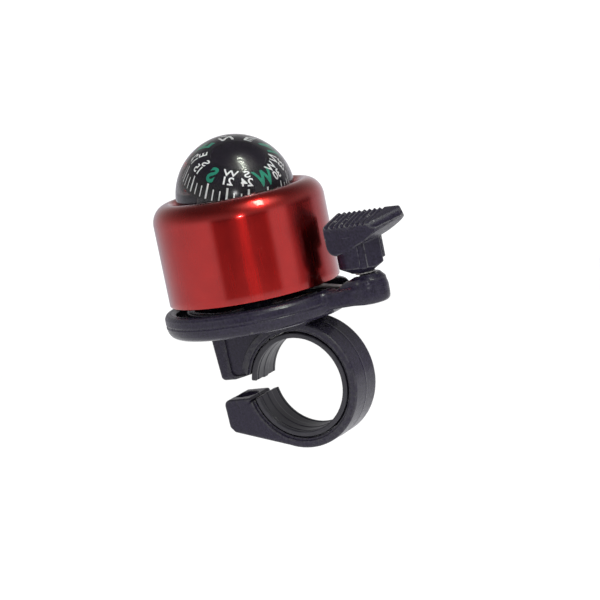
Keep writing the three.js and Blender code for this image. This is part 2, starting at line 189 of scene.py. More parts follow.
class Outline:
    """The signed distance to a closed outline, looked up in a fine grid: negative inside."""

    def __init__(self, points, step=0.1, margin=3.0):
        p = np.array(points, dtype=float)
        self.step = step
        self.low = p.min(axis=0) - margin
        counts = np.ceil((p.max(axis=0) + margin - self.low) / step).astype(int) + 1
        u = self.low[0] + step * np.arange(counts[0])[:, None]
        v = self.low[1] + step * np.arange(counts[1])[None, :]
        nearest = np.full(counts, 1e9)
        inside = np.zeros(counts, dtype=bool)
        for a, b in zip(p, np.roll(p, -1, axis=0)):
            edge = b - a
            length = float(edge @ edge)
            if length == 0:
                continue
            t = np.clip(((u - a[0]) * edge[0] + (v - a[1]) * edge[1]) / length, 0, 1)
            nearest = np.minimum(nearest, (u - a[0] - t * edge[0]) ** 2 + (v - a[1] - t * edge[1]) ** 2)
            if edge[1] != 0:
                crosses = (a[1] > v) != (b[1] > v)
                inside ^= crosses & (u < a[0] + edge[0] * (v - a[1]) / edge[1])
        self.table = np.sqrt(nearest) * np.where(inside, -1, 1)

    def __call__(self, u, v):
        u, v = np.broadcast_arrays(u, v)
        s = np.clip((u - self.low[0]) / self.step, 0, self.table.shape[0] - 1.001)
        t = np.clip((v - self.low[1]) / self.step, 0, self.table.shape[1] - 1.001)
        i, j = s.astype(int), t.astype(int)
        s, t = s - i, t - j
        low = self.table[i, j] * (1 - s) + self.table[i + 1, j] * s
        high = self.table[i, j + 1] * (1 - s) + self.table[i + 1, j + 1] * s
        return low * (1 - t) + high * t


def join(a, b, soft=0.01):
    """Two shapes as one, with a fillet about as wide as soft where they meet."""
    return np.minimum(a, b) - np.maximum(soft - np.abs(a - b), 0) ** 2 / (4 * soft)


def common(a, b, soft=0.01):
    """What two shapes share, its edges eased by soft."""
    return -join(-a, -b, soft)


def cut(a, b, soft=0.01):
    """Shape a without shape b."""
    return common(a, -b, soft)


def slab(low, high, v):
    return np.abs(v - (low + high) / 2) - (high - low) / 2


def plate(outline, thickness, r):
    """An outline's distance with the distance through its thickness, its edges rounded to r."""
    outline, thickness = np.broadcast_arrays(outline + r, thickness + r)
    outer = np.hypot(np.maximum(outline, 0), np.maximum(thickness, 0))
    return outer + np.minimum(np.maximum(outline, thickness), 0) - r


def away(x, y, cx, cy=0.0):
    return np.hypot(x - cx, y - cy)


def sculpt(field, low, high, step):
    """Vertices, quads and normals of the surface where a field is zero."""
    axes = [np.arange(a - 2 * step, b + 3 * step, step) for a, b in zip(low, high)]
    x, y, z = np.meshgrid(*axes, indexing="ij", sparse=True)
    values = np.ascontiguousarray(np.broadcast_to(field(x, y, z), [len(a) for a in axes]), dtype=np.float32)
    grid = openvdb.FloatGrid(3.0)
    grid.copyFromArray(values)
    points, quads = grid.convertToQuads(isovalue=0.0)
    points = points.astype(float) * step + [a[0] for a in axes]

    def slope(p):
        h = step / 4
        moves = np.eye(3) * h
        return np.stack([field(*(p + m).T) - field(*(p - m).T) for m in moves], axis=1) / (2 * h)

    for _ in range(3):
        g = slope(points)
        length = np.maximum(np.linalg.norm(g, axis=1, keepdims=True), 0.3)
        move = field(*points.T)[:, None] * g / length**2
        points -= np.clip(move, -step, step)
    g = slope(points)
    normals = g / np.maximum(np.linalg.norm(g, axis=1, keepdims=True), 1e-6)
    return points, quads[:, ::-1], normals


# ---- meshes ----


def piece(name, vertices, faces, material, body, nodes=(), slot=None, normals=None):
    """A smooth mesh from millimetres, riding on a body and standing for CAD nodes."""
    mesh = bpy.data.meshes.new(name)
    mesh.from_pydata((np.array(vertices) * MM).tolist(), [], [list(map(int, f)) for f in faces])
    mesh.validate()
    mesh.polygons.foreach_set("use_smooth", [True] * len(mesh.polygons))
    mesh.materials.append(material)
    obj = bpy.data.objects.new(name, mesh)
    bpy.context.collection.objects.link(obj)
    work = bmesh.new()
    work.from_mesh(mesh)
    if work.calc_volume(signed=True) < 0:
        bmesh.ops.reverse_faces(work, faces=work.faces)
    work.to_mesh(mesh)
    work.free()
    if normals is not None and len(mesh.vertices) == len(normals):
        mesh.normals_split_custom_set_from_vertices(normals.tolist())
    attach(obj, body)
    if nodes:
        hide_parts(*nodes)
    return obj


def sculpted(name, field, low, high, step, *rest, **words):
    points, quads, normals = sculpt(field, low, high, step)
    return piece(name, points, quads, *rest, normals=normals, **words)


def lathe(profile, segments, x=0.0, y=0.0):
    """Vertices and faces of a turning about Z; its outline closes, or starts and ends on the axis."""
    profile = list(profile)
    solid = profile[0][0] < 1e-6 and profile[-1][0] < 1e-6
    rings = profile[1:-1] if solid else profile
    angles = np.linspace(0, 2 * math.pi, segments, endpoint=False)
    vertices = [(x + r * math.cos(a), y + r * math.sin(a), z) for r, z in rings for a in angles]
    faces = []
    count = len(rings)
    for i in range(count - 1 if solid else count):
        for k in range(segments):
            a, b = i * segments, (i + 1) % count * segments
            faces.append((a + k, a + (k + 1) % segments, b + (k + 1) % segments, b + k))
    if solid:
        for ring, point in ((0, profile[0]), (count - 1, profile[-1])):
            vertices.append((x, y, point[1]))
            tip = len(vertices) - 1
            for k in range(segments):
                pair = (ring * segments + k, ring * segments + (k + 1) % segments)
                faces.append((tip, *(pair[::-1] if ring == 0 else pair)))
    return np.array(vertices), faces


def turned(name, profile, x, y, material, body, nodes=(), slot=None, segments=96, sharp=40):
    obj = piece(name, *lathe(profile, segments, x, y), material, body, nodes, slot)
    obj.data.set_sharp_from_angle(angle=math.radians(sharp))
    return obj


def coil(centre_x, r, wire, low, rise, turns, sides=10, steps=160):
    """A round wire wound about a vertical axis, its two ends bent in."""
    t = np.linspace(0, 1, steps)
    angle = 2 * math.pi * turns * t
    ease = np.clip(np.minimum(t, 1 - t) / 0.05, 0, 1)
    reach = r - 0.5 * (1 - ease)
    path = np.stack([centre_x + reach * np.cos(angle), reach * np.sin(angle), low + rise * t], axis=1)
    along = np.gradient(path, axis=0)
    along /= np.linalg.norm(along, axis=1, keepdims=True)
    side = np.cross(along, [0, 0, 1.0])
    side /= np.linalg.norm(side, axis=1, keepdims=True)
    over = np.cross(side, along)
    vertices = []
    for k in range(steps):
        for a in np.linspace(0, 2 * math.pi, sides, endpoint=False):
            vertices.append(path[k] + wire * (math.cos(a) * side[k] + math.sin(a) * over[k]))
    faces = [tuple(range(sides)), tuple(range(steps * sides - 1, (steps - 1) * sides - 1, -1))]
    for k in range(steps - 1):
        for s in range(sides):
            a, b = k * sides + s, k * sides + (s + 1) % sides
            faces.append((a, a + sides, b + sides, b))
    return np.array(vertices), faces


# ---- materials ----


class Look:
    """A material with its Principled shader, and short calls for the nodes that feed it."""

    def __init__(self, name, color, roughness, **sockets):
        self.material = bpy.data.materials.new(name)
        self.material.use_nodes = True
        self.nodes = self.material.node_tree.nodes
        self.shader = self.nodes["Principled BSDF"]
        self.set(self.shader, "Base Color", (*color, 1))
        self.set(self.shader, "Roughness", roughness)
        for socket, value in sockets.items():
            self.set(self.shader, socket.replace("_", " "), value)
        self.coordinates = self.nodes.new("ShaderNodeTexCoord").outputs["Object"]

    def set(self, node, socket, value):
        if isinstance(value, bpy.types.NodeSocket):
            self.material.node_tree.links.new(value, node.inputs[socket])
        else:
            node.inputs[socket].default_value = value

    def add(self, kind, inputs=(), **settings):
        node = self.nodes.new(kind)
        for name, value in settings.items():
            setattr(node, name, value)
        for socket, value in dict(inputs).items():
            self.set(node, socket, value)
        return node

    def noise(self, scale, detail=3.0, stretch=(1, 1, 1), roughness=0.5):
        """Noise from 0 to 1; scale is in cells per metre."""
        place = self.add("ShaderNodeMapping", {"Vector": self.coordinates, "Scale": stretch})
        words = {"Vector": place.outputs[0], "Scale": scale, "Detail": detail, "Roughness": roughness}
        return self.add("ShaderNodeTexNoise", words).outputs["Fac"]

    def ramp(self, value, low, high, start=0.0, end=1.0):
        """value brought from the span low to high into start to end."""
        words = {"Value": value, "From Min": low, "From Max": high, "To Min": start, "To Max": end}
        return self.add("ShaderNodeMapRange", words).outputs[0]

    def mix(self, factor, first, second):
        node = self.add("ShaderNodeMix", data_type="RGBA")
        for index, value in ((0, factor), (6, first), (7, second)):
            self.set(node, index, value)
        return node.outputs[2]

    def bump(self, height, depth, before=None):
        """depth is the height of a full step, in metres."""
        words = {"Height": height, "Distance": depth, "Strength": 1.0}
        if before is not None:
            words["Normal"] = before
        return self.add("ShaderNodeBump", words).outputs[0]

    def edge_wear_and_glint(self):
        """Near 1 on sharp outer edges and near 0 on flats."""
        point = self.add("ShaderNodeNewGeometry").outputs["Pointiness"]
        return self.ramp(point, 0.505, 0.58)


def moulded(name, dark, pale, rough, grain, gloss=0.5, rub_and_glint=2.6):
    """Moulded plastic: a fine grain, faint flow clouds, smudges of gloss, and sharp edges paler, partly
    rubbed wear and partly a painted highlight along the edges.
    """
    look = Look(name, dark, rough, Specular_IOR_Level=gloss)
    clouds = look.noise(1900, 5, roughness=0.75)
    smudge = look.noise(900, 5, roughness=0.6)
    tone = look.mix(look.ramp(clouds, 0.4, 0.62), (*dark, 1), (*pale, 1))
    patches = look.ramp(smudge, 0.35, 0.5)
    # Sharp edges are mixed towards a pale grey: partly rubbed wear, partly a painted highlight standing in
    # for glints on edges and rib crests.
    edge = look.add("ShaderNodeMath", {0: look.edge_wear_and_glint(), 1: patches}, operation="MULTIPLY")
    cover = look.ramp(edge.outputs[0], 0, 1, 0, 0.9)
    rubbed_and_glint_color = (rub_and_glint * 0.02,) * 3
    look.set(look.shader, "Base Color", look.mix(cover, tone, (*rubbed_and_glint_color, 1)))
    look.set(look.shader, "Roughness", look.ramp(smudge, 0.3, 0.7, rough - 0.07, rough + 0.1))
    fine = look.bump(look.noise(3000, 2), grain)
    look.set(look.shader, "Normal", look.bump(look.noise(700, 2), grain * 1.6, fine))
    return look.material


def anodised():
    """Polished aluminium dyed red, its lacquer-like skin clear over fine drawing lines."""
    deep, bright = (0.42, 0.010, 0.008), (0.48, 0.013, 0.010)
    look = Look("gong_anodised_red", deep, 0.25, Metallic=1.0, Anisotropic=0.6, Anisotropic_Rotation=0.25,
                Coat_Weight=0.9, Coat_Roughness=0.1, Coat_IOR=1.5)
    around = look.add("ShaderNodeTangent", direction_type="RADIAL", axis="Z")
    look.set(look.shader, "Tangent", around.outputs[0])
    lines = look.noise(90, 6, stretch=(9, 9, 0.6), roughness=0.65)
    haze = look.noise(160, 4)
    specks = look.noise(2600, 1)
    tone = look.mix(look.ramp(haze, 0.35, 0.7), (*deep, 1), (*bright, 1))
    dust = look.ramp(specks, 0.76, 0.8, 0, 0.35)
    look.set(look.shader, "Base Color", look.mix(dust, tone, (0.75, 0.3, 0.25, 1)))
    look.set(look.shader, "Roughness", look.ramp(lines, 0.3, 0.7, 0.22, 0.29))
    ripple = look.bump(look.noise(55, 1, stretch=(1, 1, 0.35)), 0.00012)
    look.set(look.shader, "Normal", look.bump(lines, 0.000006, ripple))
    return look.material


def metal(name, color, rough, stretch=(1, 1, 14)):
    """Turned metal: tool marks, cloudy oxide and small scratches."""
    look = Look(name, color, rough, Metallic=1.0)
    marks = look.noise(900, 4, stretch=stretch)
    stain = look.noise(700, 5, roughness=0.6)
    dull = tuple(0.55 * c for c in color)
    cover = look.ramp(stain, 0.45, 0.75, 0, 0.7)
    look.set(look.shader, "Base Color", look.mix(cover, (*color, 1), (*dull, 1)))
    look.set(look.shader, "Roughness", look.ramp(stain, 0.3, 0.7, rough - 0.08, rough + 0.12))
    look.set(look.shader, "Normal", look.bump(marks, 0.000012))
    return look.material


def rubber():
    """Matt rubber: a fine tooth and pale bloom in clouds."""
    look = Look("liner_rubber", (0.016, 0.015, 0.02), 0.4, Specular_IOR_Level=0.6)
    bloom = look.noise(260, 5, roughness=0.6)
    tone = look.mix(look.ramp(bloom, 0.4, 0.75), (0.010, 0.009, 0.015, 1), (0.022, 0.020, 0.028, 1))
    look.set(look.shader, "Base Color", tone)
    look.set(look.shader, "Roughness", look.ramp(bloom, 0.3, 0.7, 0.32, 0.46))
    look.set(look.shader, "Normal", look.bump(look.noise(4200, 3), 0.00002))
    return look.material


def liquid_glass():
    """The clear dome and the liquid in it as one body; lamps shine in through it unbent."""
    look = Look("dome_clear", (0.99, 0.98, 1.0), 0.0, Transmission_Weight=1.0, IOR=1.45, Coat_Weight=0.9,
                Coat_IOR=1.5, Coat_Roughness=0.12, Specular_Tint=(0.03, 0.03, 0.03, 1))
    wipe = look.noise(500, 5, roughness=0.6)
    look.set(look.shader, "Roughness", look.ramp(wipe, 0.6, 0.85, 0.0, 0.012))
    look.set(look.shader, "Coat Roughness", look.ramp(wipe, 0.3, 0.8, 0.15, 0.24))
    path = look.add("ShaderNodeLightPath")
    clear = look.add("ShaderNodeBsdfTransparent", {"Color": (0.93, 0.96, 0.95, 1)})
    choice = look.add("ShaderNodeMixShader")
    look.set(choice, 0, path.outputs["Is Shadow Ray"])
    look.set(choice, 1, look.shader.outputs[0])
    look.set(choice, 2, clear.outputs[0])
    look.set(look.nodes["Material Output"], "Surface", choice.outputs[0])
    return look.material


def printed(name, color):
    """Pad-printed ink under liquid: slightly uneven cover and no gloss of its own."""
    look = Look(name, color, 0.5, Specular_IOR_Level=0.05)
    cover = look.noise(3000, 3)
    thin = tuple(0.8 * c for c in color)
    look.set(look.shader, "Base Color", look.mix(look.ramp(cover, 0.35, 0.7), (*thin, 1), (*color, 1)))
    look.set(look.shader, "Roughness", look.ramp(cover, 0.3, 0.7, 0.42, 0.6))
    look.set(look.shader, "Normal", look.bump(cover, 0.000008))
    return look.material


BLACK = moulded("plastic_black", (0.008, 0.0062, 0.014), (0.020, 0.016, 0.034), 0.24, 0.000018, 0.32)
# The lever's rib crests and edges are painted much paler: a painted highlight along them, with some rubbed
# wear.
THUMBED = moulded("lever_black", (0.008, 0.0062, 0.014), (0.020, 0.016, 0.034), 0.36, 0.000012, 0.25, 6)
GLOSS = moulded("cup_gloss_black", (0.010, 0.007, 0.016), (0.013, 0.010, 0.021), 0.16, 0.000002, 0.1, 0.6)
CARD_BLACK = moulded("card_black", (0.007, 0.005, 0.010), (0.011, 0.008, 0.016), 0.5, 0.000004, 0.04, 0.6)
NYLON = moulded("plug_nylon", (0.58, 0.56, 0.5), (0.66, 0.64, 0.58), 0.45, 0.00001)
FOAM = moulded("pad_foam", (0.012, 0.012, 0.013), (0.022, 0.022, 0.024), 0.9, 0.00012)
JEWEL = moulded("jewel_ruby", (0.35, 0.02, 0.04), (0.45, 0.03, 0.06), 0.12, 0.000002)
RED = anodised()
RUBBER = rubber()
CLEAR = liquid_glass()
STEEL = metal("steel_plated", (0.56, 0.55, 0.53), 0.28)
ARM_STEEL = metal("steel_bright", (0.6, 0.6, 0.6), 0.42)
SPRING = metal("steel_spring", (0.16, 0.15, 0.145), 0.34, (6, 6, 6))
BRASS = metal("brass_turned", (0.52, 0.36, 0.15), 0.34)
MAGNET = metal("magnet_ferrite", (0.05, 0.05, 0.055), 0.55)
WHITE_INK = printed("ink_white", (0.86, 0.88, 0.88))
GREEN_INK = printed("ink_green", (0.022, 0.27, 0.17))

# ---- handlebar clamp ----


def clamp():
    """Block, open band and screw lug in one moulding, with a sunk panel on each side of the block."""
    outline = Outline([
        (-20.9, PLATE_LOW),
        *arc(-19.0, 3.95, 1.1, 180, 270, 6)[1:],
        (-16.4, 2.8),
        *arc(0, 0, BAND["inner"], 163.7, -168, 120),
        (-14.05, -3.0),
        *rounded([
            (-13.6, -2.6), (-13.9, -2.0, 0.5), (-20.8, -2.0, 1.4),
            (-20.5, -8.6, 0.6), (-19.4, -9.9, 1.0), (-9, -13.6),
        ], False)[:-1],
        *arc(0, 0, BAND["outer"], -111, 70, 90),
        (8.5, PLATE_LOW),
    ])
    panel = Outline([
        (-17.2, 20),
        *arc(-15.7, 5.1, 1.4, 180, 270, 6),
        (-13.2, 3.7),
        *arc(0, 0, BAND["outer"], 160, 108, 24),
        (-4.6, 20),
    ])

    def field(x, y, z):
        ridge = 0.07 * np.exp(-((y / 0.22) ** 2))
        shape = plate(outline(x, z) - ridge, np.abs(y) - BAND_HALF, 0.45)
        key = np.maximum(slab(-17, -1.5, x), np.abs(y) - 3)
        shape = join(shape, np.maximum(key, slab(PLATE_LOW - 1, PLATE_LOW + 1.2, z)))
        sunk = np.maximum(panel(x, z), BAND_HALF - 0.6 - np.abs(y))
        shape = cut(shape, sunk, 0.25)
        screw = away(x, y, CLAMP_SCREW_X)
        top = CLAMP_HOLE["nut_top"]
        nut = np.maximum(screw - CLAMP_HOLE["nut_r"], slab(-11.5, top, z))
        hole = np.minimum(screw - CLAMP_HOLE["r"], nut)
        ring = np.maximum(screw - 2.8, -2.4 - z)
        holes = np.minimum(np.maximum(hole, z - top), np.maximum(ring, z))
        post = np.maximum(away(x, y, GONG_X) - SCREW_HOLE, 11.7 - z)
        shape = cut(cut(shape, holes, 0.2), post, 0.1)
        return cut(shape, np.maximum(np.hypot(x, z) - 13.35, BAND_HALF - 0.5 - np.abs(y)), 0.2)

    sculpted("clamp_moulding", field, clamp_low, clamp_high, 0.24, BLACK, "base",
             nodes=["clamp_body"], slot="black_plastic")


def liner():
    """The rubber strip inside the band, its middle raised and a groove along each edge."""
    end = LINER["end"]
    outline = Outline([
        *arc(0, 0, LINER["outer"], -end, end, 160),
        *arc(0, 0, LINER["inner"] + 0.12, end, -end, 160),
    ])

    def field(x, y, z):
        middle = 0.06 + 0.06 * np.tanh((1.05 - np.abs(y)) / 0.08)
        groove = 0.22 * np.exp(-(((LINER_HALF - 1.1 - np.abs(y)) / 0.16) ** 2))
        raised = np.where(np.hypot(x, z) < LINER["inner"] + 1.2, middle - groove, 0)
        return plate(outline(x, z) - raised, np.abs(y) - LINER_HALF, 0.28)

    sculpted("liner_strip", field, liner_low, liner_high, 0.2, RUBBER, "base",
             nodes=["clamp_liner"], slot="rubber")


# ---- base plate ----


def ear_outline():
    reach = PLATE_R - 0.35 + EAR["fillet"]
    offset = EAR["half"] + EAR["fillet"]
    x = GONG_X + math.sqrt(reach**2 - offset**2)
    start = -180 + math.degrees(math.atan2(offset, x - GONG_X))
    upper = arc(x, offset, EAR["fillet"], start, -90, 8)
    lower = [(u, -v) for u, v in reversed(upper)]
    return [(GONG_X + 12, -8), *lower, *arc(PIVOT_X, 0, EAR["half"], -90, 90, 24), *upper, (GONG_X + 12, 8)]


def base_plate():
    """The round dish with its post, seat ring, ear and boss, blended as one moulding."""
    dish = Outline(rounded([
        (SCREW_HOLE, PLATE_LOW),
        (PLATE_R - 0.5, PLATE_LOW, 2.4),
        (PLATE_R, 18.3),
        (PLATE_R - 0.2, 18.6),
        (PLATE_R, 18.85),
        (PLATE_R - 0.05, 20.3),
        (21.65, 21.0, 0.6),
        (20.6, RIM_TOP, 0.8),
        (DISH["inner"], 20.9, 0.7),
        (DISH["inner"], DISH["floor"], 0.4),
        (SEAT["outer"] + 0.1, DISH["floor"], 0.4),
        (SEAT["outer"], SEAT["top"], 0.4),
        (SEAT["inner"], SEAT["top"], 0.3),
        (SEAT["inner"], DISH["floor"], 0.4),
        (3.5, DISH["floor"], 0.8),
        (3.4, POST_TOP, 0.3),
        (SCREW_HOLE, POST_TOP),
    ]))
    boss = Outline(rounded([
        (0, BOSS["low"]),
        (BOSS["r"], BOSS["low"], 1.6),
        (BOSS["r"], 22.3, 0.5),
        (3.3, BOSS["top"], 0.35),
        (0, BOSS["top"]),
    ]))
    ear = Outline(ear_outline())
    way = Outline([
        (PIVOT_X - 0.2, 3.2),
        *arc(PIVOT_X, 0, 24, 139, 139.1, 1)[:1],
        *arc(PIVOT_X, 0, 28.5, 143, 176, 8),
        (PIVOT_X - 0.2, -3.2),
    ])

    def field(x, y, z):
        from_gong = away(x, y, GONG_X)
        from_pivot = away(x, y, PIVOT_X)
        arm = plate(ear(x, y), slab(EAR["low"], EAR["top"], z), 0.7)
        arm = join(arm, boss(from_pivot, z), 1.2)
        slope = 0.78 * (z - 22.0 - 0.8 * (x - PIVOT_X + 4.6))
        cheek = np.maximum(np.maximum(slab(-4.1, -1.9, y), slope), slab(19, 22.6, z))
        arm = join(arm, np.maximum(cheek, x - PIVOT_X), 0.6)
        arm = np.maximum(arm, 20.2 - from_gong)
        shape = join(dish(from_gong, z), arm, 1.1)
        shape = cut(shape, np.maximum(way(x, y), 18.9 - z), 0.3)
        mouth = np.maximum(slab(PIVOT_X - 6, PIVOT_X - 0.6, x), 21.15 - z)
        mouth = np.maximum(mouth, slab(-1.9, 5, y))
        shape = cut(shape, mouth, 0.4)
        shape = cut(shape, np.maximum(from_pivot - 3.4, slab(19, 22.8, z)), 0.2)
        shape = cut(shape, np.maximum(from_pivot - 3.2, z - 17.9), 0.2)
        shape = cut(shape, from_pivot - 1.85, 0.15)
        keyway = np.maximum(slab(-17.3, -1.2, x), np.abs(y) - 3.3)
        return cut(shape, np.maximum(keyway, z - PLATE_LOW - 1.5), 0.1)

    sculpted("base_moulding", field, plate_low, plate_high, 0.26, BLACK, "base",
             nodes=["base_plate"], slot="black_plastic")


# ---- gong ----


def gong():
    """A drawn cup whose top turns over into the well that holds the compass."""
    inner = GONG_R - GONG_WALL
    shoulder_z, crest_r, lip = 42.0, 16.2, 0.32
    well_lip = (WELL["r"], WELL["lip"])
    outer = [
        well_lip,
        *curve(well_lip, (WELL["r"] + 0.1, GONG_TOP - 0.05), (crest_r, GONG_TOP), 14),
        *[
            (crest_r + (GONG_R - crest_r) * math.sin(a), shoulder_z + (GONG_TOP - shoulder_z) * math.cos(a))
            for a in np.linspace(0, math.pi / 2, 33)[1:]
        ],
    ]
    foot = [
        *arc(GONG_R - lip, GONG_LOW + lip, lip, 0, -90, 8),
        *arc(inner + lip, GONG_LOW + lip, lip, -90, -180, 8),
    ]
    well_outer = WELL["r"] + GONG_WALL
    fold = (16.7, 45.4)
    under = [
        (inner, shoulder_z),
        *curve((inner, shoulder_z), (inner, 45.3), fold, 20),
        *curve(fold, (well_outer, 45.3), (well_outer, WELL["lip"]), 8),
    ]
    floor_under = WELL["floor"] - WELL["wall"]
    well = rounded([
        (well_outer, 44.5),
        (well_outer, floor_under, 1.4),
        (SCREW_HOLE, floor_under),
        (SCREW_HOLE, WELL["floor"]),
        (WELL["r"], WELL["floor"], 1.0),
        (WELL["r"], 44.5),
    ], closed=False, steps=8)
    wall = [(GONG_R, z) for z in np.linspace(shoulder_z, GONG_LOW + lip, 12)[1:-1]]
    turned("gong_shell", [*outer, *wall, *foot, *under, *well[1:-1]], GONG_X, 0, RED, "base",
           nodes=["gong"], slot="gong_red", segments=256, sharp=50)


def gong_fixings():
    """The screw with its slotted pan head, and the washer under it."""

    def screw(x, y, z):
        r = away(x, y, GONG_X)
        thread = 0.12 * np.abs(((z * 1.25 - np.arctan2(y, x - GONG_X) / (2 * math.pi)) % 1) - 0.5) * 2
        shank = np.maximum(r - 1.95 + thread, slab(12, 38.2, z))
        head = common(r - 3.5, slab(38.1, 39.3, z), 0.6)
        slot = np.maximum(np.abs(y) - 0.4, 38.6 - z)
        return cut(join(shank, head, 0.1), slot, 0.1)

    low, high = span("gong_screw")
    sculpted("pan_screw", screw, low, high, 0.14, STEEL, "base", nodes=["gong_screw"], slot="steel")
    washer = rounded([(2.2, 37.7, 0.08), (4.2, 37.7, 0.1), (4.2, 38.1, 0.12), (2.2, 38.1, 0.1)])
    turned("screw_washer", washer, GONG_X, 0, STEEL, "base", nodes=["gong_washer"], slot="steel")


# ---- ball compass ----


def ball_arc(r, low, high, steps):
    """Points on the ball's outline between two heights."""
    start, end = (math.degrees(math.asin((z - BALL_Z) / r)) for z in (low, high))
    return arc(0, BALL_Z, r, start, end, steps)


def compass_body():
    pad = rounded([(4.8, 37.72, 0.1), (12.2, 37.72, 0.2), (12.2, 39.58, 0.4), (4.8, 39.58, 0.3)])
    turned("foam_pad", pad, GONG_X, 0, FOAM, "base", nodes=["compass_pad"], slot="foam")
    lip = SEAM_Z + 0.03
    cup = [(0, 39.6), *ball_arc(BALL_R, 39.6, lip, 24), *ball_arc(BALL_INNER, lip, 40.6, 24), (0, 40.6)]
    turned("ball_cup", cup, GONG_X, 0, GLOSS, "base", nodes=["compass_cup"], slot="gloss_black", segments=160)
    body = [
        (0, 40.57),
        *ball_arc(BALL_INNER + 0.05, 40.57, SEAM_Z, 20),
        *ball_arc(BALL_R, SEAM_Z, BALL_Z + BALL_R - 0.0001, 60)[:-1],
        (0, BALL_Z + BALL_R),
    ]
    turned("ball_dome", body, GONG_X, 0, CLEAR, "base",
           nodes=["compass_dome"], slot="clear", segments=200, sharp=60)


def card_frame():
    """The matrix from the card's own axes, its front at the dial's near side, to the row frame."""
    azimuth = math.radians(CARD_LEAN_AZIMUTH)
    axis = Vector((-math.sin(azimuth), math.cos(azimuth), 0))
    return Matrix.Translation((GONG_X, 0, BALL_Z)) @ Matrix.Rotation(math.radians(CARD_LEAN), 4, axis)


CARD = card_frame()
DIAL_VIEW = Vector((0.3879, -0.8991, -0.2027))  # from the ball's centre to the dial's degree CARD_FRONT


def on_card(vertices):
    return np.array([CARD @ Vector(v) for v in vertices])


CARD_WALL = [(8.95, 0.3), (8.4, 3.9), *curve((8.4, 3.9), (8.2, 6), (5.1, 6.9), 12)]


def card_surface(height):
    """Radius, height and outward normal on the card's printed side, at a distance up along its outline."""
    points = np.array(CARD_WALL)
    lengths = np.concatenate([[0], np.cumsum(np.linalg.norm(np.diff(points, axis=0), axis=1))])

    def place(level):
        return np.array([np.interp(level, lengths, points[:, k]) for k in (0, 1)])

    step = 0.15
    r, z = place(height)
    ahead = place(height + step) - place(height - step)
    size = math.hypot(*ahead)
    return r, z, ahead[1] / size, -ahead[0] / size


def card_front():
    """The card's own angle that faces the viewer's side of the bell."""
    front = CARD.inverted().to_3x3() @ DIAL_VIEW
    return math.atan2(front.y, front.x)


def wrap(points, degree):
    """Flat print, x along the dial and y up its side, laid on the card at a dial degree."""
    result = []
    turn = card_front() + math.radians(degree - CARD_FRONT)
    for x, y in points:
        r, z, out, up = card_surface(y)
        angle = turn + x / max(r, 6.0)
        reach = r + INK * out
        result.append((reach * math.cos(angle), reach * math.sin(angle), z + INK * up))
    return on_card(result)


def glyphs(text, height, bottom, wide=1.0, weight=0.03, spacing=1.0):
    """The flat outline of mirrored lettering as fine strips: (points, faces)."""
    data = bpy.data.curves.new("glyphs", "FONT")
    data.body = text
    data.size = height / 0.73
    data.offset = weight
    data.align_x = "CENTER"
    data.space_character = spacing
    maker = bpy.data.objects.new("glyphs", data)
    bpy.context.collection.objects.link(maker)
    bpy.context.view_layer.update()
    mesh = bpy.data.meshes.new_from_object(maker.evaluated_get(bpy.context.evaluated_depsgraph_get()))
    bpy.data.objects.remove(maker)
    work = bmesh.new()
    work.from_mesh(mesh)
    bmesh.ops.remove_doubles(work, verts=work.verts, dist=1e-4)
    for normal in ((1, 0, 0), (0, 1, 0)):
        for offset in np.arange(-4.0, 4.0, 0.35):
            place = tuple(offset * c for c in normal)
            everything = work.verts[:] + work.edges[:] + work.faces[:]
            bmesh.ops.bisect_plane(work, geom=everything, plane_co=place, plane_no=normal, dist=1e-5)
    work.verts.ensure_lookup_table()
    points = [(-v.co.x * wide, bottom + v.co.y) for v in work.verts]
    faces = [[v.index for v in f.verts] for f in work.faces]
    work.free()
    bpy.data.meshes.remove(mesh)
    return points, faces


class Print:
    """Print of one ink, gathered as one mesh."""

    def __init__(self):
        self.vertices = []
        self.faces = []

    def add(self, points, faces, degree):
        base = len(self.vertices)
        self.vertices.extend(wrap(points, degree))
        self.faces.extend([[base + k for k in face] for face in faces])

    def tick(self, degree, low, high, width):
        levels = np.linspace(low, high, 6)
        points = [(side * width / 2, level) for level in levels for side in (-1, 1)]
        faces = [(2 * k, 2 * k + 1, 2 * k + 3, 2 * k + 2) for k in range(5)]
        self.add(points, faces, degree)


def compass_card():
    """The card and its printed scale, which the jewel, magnet and pin carry."""
    under = [(4.6, 5.9), *curve((4.6, 5.9), (7.5, 5.4), (7.65, 3.8), 8)]
    profile = [
        (0, 5.8), (1.8, 5.8), (1.8, 0.3), (3.2, 0.3), (3.2, -0.3), (4.2, -0.3), (4.2, 0.9), (2.7, 0.9),
        (2.7, 5.9), *under, (8.25, 0.3), *CARD_WALL, (4.9, 6.6), (0, 6.6),
    ]
    vertices, faces = lathe(profile, 128)
    card = piece("card_shell", on_card(vertices), faces, CARD_BLACK, "card",
                 nodes=["compass_card"], slot="card")
    card.data.set_sharp_from_angle(angle=math.radians(35))
    white, green = Print(), Print()
    for degree in range(0, 360, 10):
        if degree % 30 == 0:
            white.tick(degree, 0.5, 3.65, 0.42)
        else:
            white.tick(degree, 0.5, 2.75, 0.27)
    for degree in range(30, 360, 30):
        if degree % 90:
            white.add(*glyphs(str(degree // 10), 1.75, 4.3, 1.1, 0.05, 1.02), degree - 2)
    corners = {30: "E", 60: "N", 120: "E", 150: "S", 210: "W", 240: "S", 300: "W", 330: "N"}
    for degree, letter in corners.items():
        white.add(*glyphs(letter, 1.7, 6.2, 1.3, 0.04), degree)
    for degree, letter in {0: "N", 90: "E", 180: "S", 270: "W"}.items():
        green.add(*glyphs(letter, 3.4, 4.1, 0.88, 0.17), degree)
    for name, ink, material in (("print_white", white, WHITE_INK), ("print_green", green, GREEN_INK)):
        piece(name, ink.vertices, ink.faces, material, "card", slot="card")


